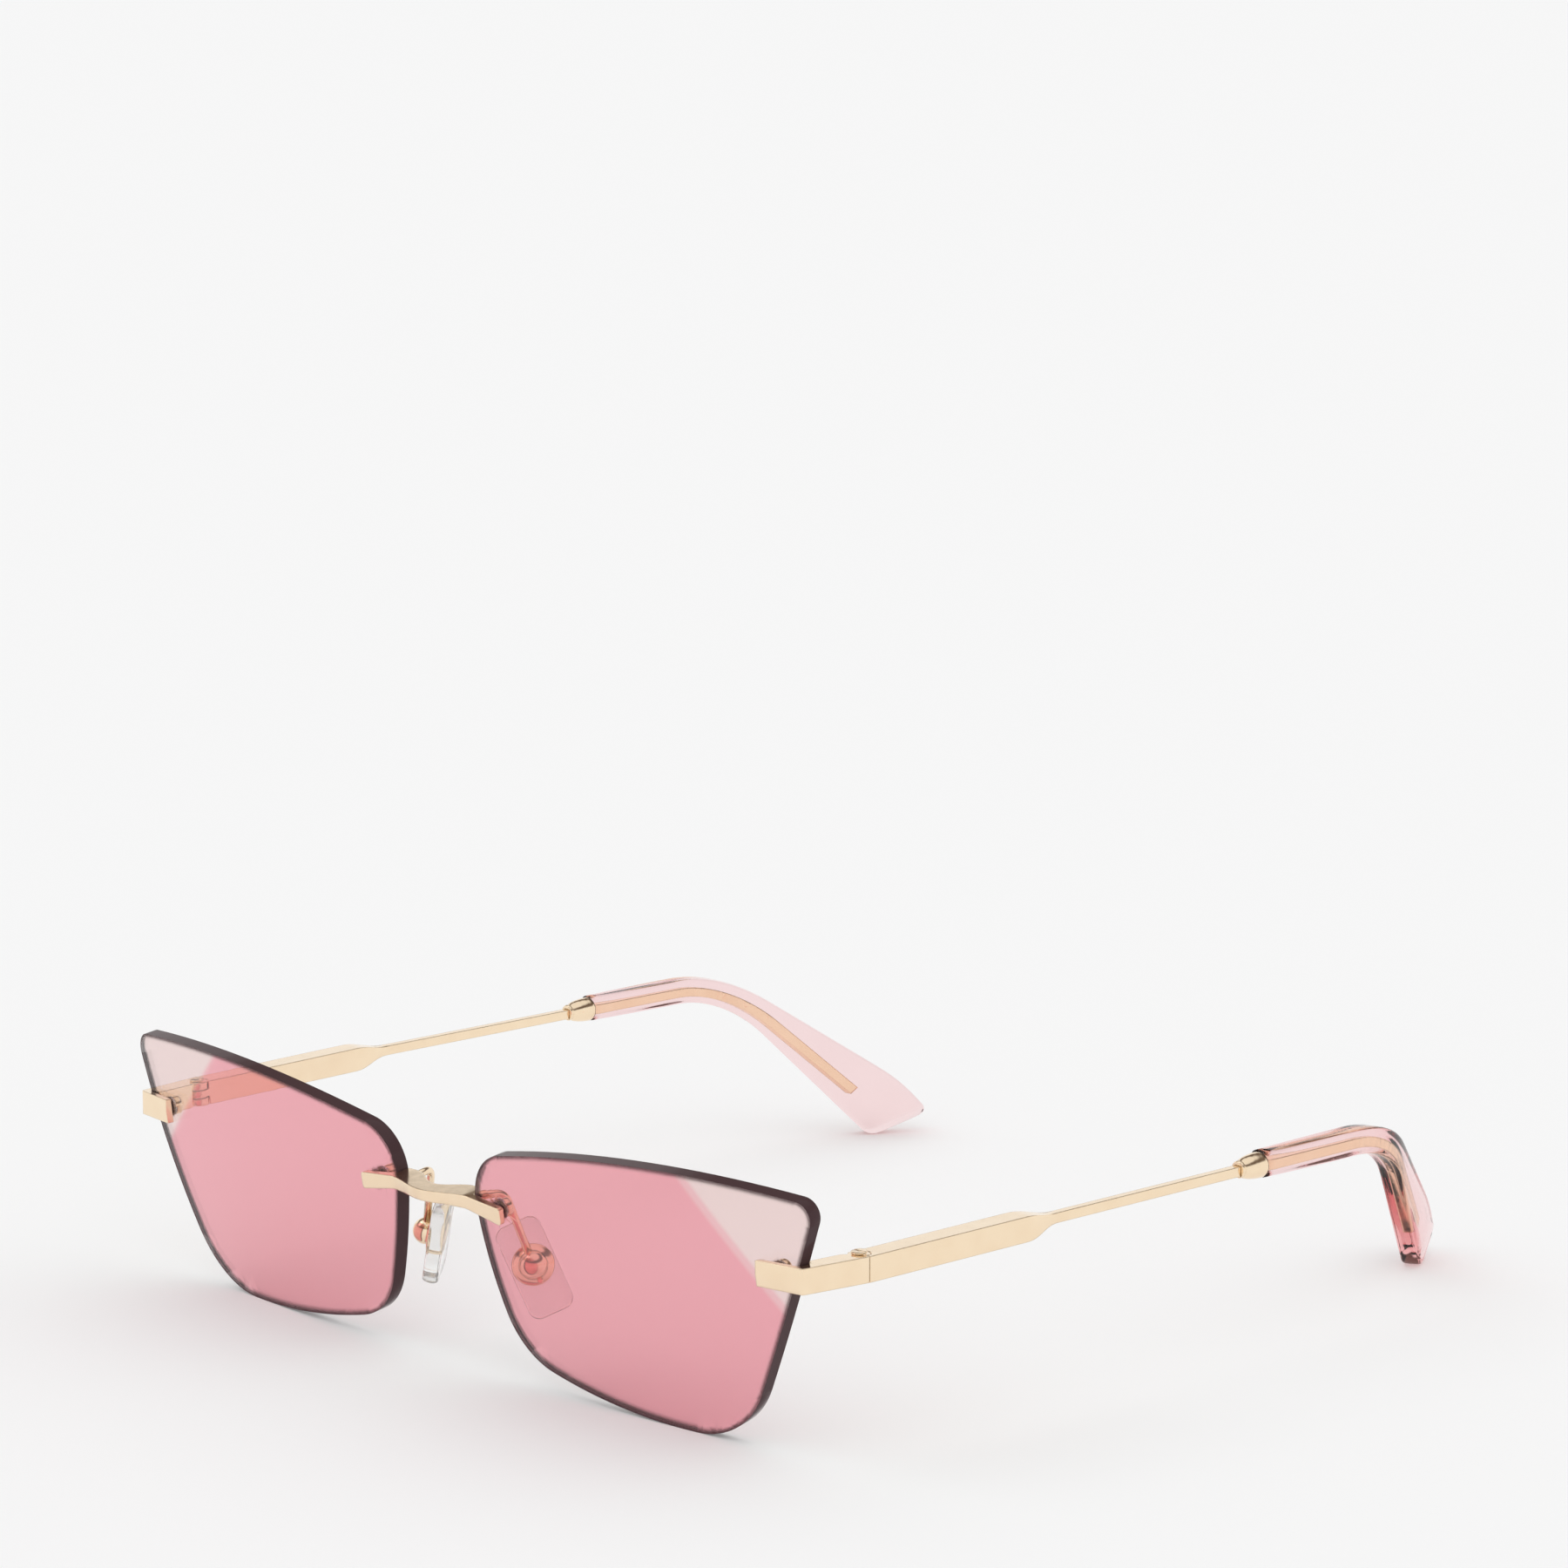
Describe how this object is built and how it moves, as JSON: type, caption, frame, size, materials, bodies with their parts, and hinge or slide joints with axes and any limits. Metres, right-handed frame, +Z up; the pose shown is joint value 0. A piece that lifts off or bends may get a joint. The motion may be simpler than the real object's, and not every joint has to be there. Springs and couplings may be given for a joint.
{
  "type": "sunglasses",
  "caption": "Rimless cat eye sunglasses with tinted lenses, metal bridge, wrap-round end pieces, folding bar-and-wire temples, moulded tips and rocking nose pads.",
  "frame": {"origin": "On the table plane, under the middle of the open glasses' bounding box, on the plane of symmetry", "axes": "+Z up from the table the glasses stand on; +X to the wearer's left; the lenses face -Y and the temples run back along +Y"},
  "size_m": [0.1432, 0.1498, 0.0367],
  "materials": {
    "lens": "transparent pink tint, polished faces, edges polished and darker",
    "metal": "polished pale gold plating",
    "tip": "transparent pale pink acetate, polished",
    "pad": "clear, smooth",
    "bush": "clear nylon sleeves and washers"
  },
  "bodies": {
    "front_frame": {"lens_left": "lens", "lens_right": "lens", "bridge": "metal", "end_piece_left": "metal", "end_piece_right": "metal", "hinge_screw_left": "metal", "hinge_screw_right": "metal", "pad_arm_left": "metal", "pad_arm_right": "metal", "nasal_bush_left": "bush", "nasal_bush_right": "bush", "temporal_bush_left": "bush", "temporal_bush_right": "bush", "nasal_washer_left": "bush", "nasal_washer_right": "bush", "temporal_washer_left": "bush", "temporal_washer_right": "bush", "nasal_nut_left": "metal", "nasal_nut_right": "metal", "temporal_nut_left": "metal", "temporal_nut_right": "metal"},
    "temple_arm_left": {"temple_left": "metal", "ferrule_left": "metal", "temple_tip_left": "tip"},
    "nose_pad_left": {"nose_pad_left": "pad", "pad_socket_left": "metal", "pad_rivet_left": "metal"},
    "temple_arm_right": {"temple_right": "metal", "ferrule_right": "metal", "temple_tip_right": "tip"},
    "nose_pad_right": {"nose_pad_right": "pad", "pad_socket_right": "metal", "pad_rivet_right": "metal"}
  },
  "joints": [
    {"name": "temple_fold_left", "type": "hinge", "parent": "front_frame", "child": "temple_arm_left", "pos_m": [0.0687, -0.05851, 0.0253], "axis": [0, -0.0785, 0.9969], "range_deg": [0, 86]},
    {"name": "temple_fold_right", "type": "hinge", "parent": "front_frame", "child": "temple_arm_right", "pos_m": [-0.0687, -0.05851, 0.0253], "axis": [0, 0.0785, -0.9969], "range_deg": [0, 80]},
    {"name": "nose_pad_rock_left", "type": "hinge", "parent": "front_frame", "child": "nose_pad_left", "pos_m": [0.01188, -0.06387, 0.01583], "axis": [0.524, 0.7556, 0.393], "range_deg": [-8, 4]},
    {"name": "nose_pad_rock_right", "type": "hinge", "parent": "front_frame", "child": "nose_pad_right", "pos_m": [-0.01188, -0.06387, 0.01583], "axis": [0.524, -0.7556, -0.393], "range_deg": [-8, 4]}
  ]
}
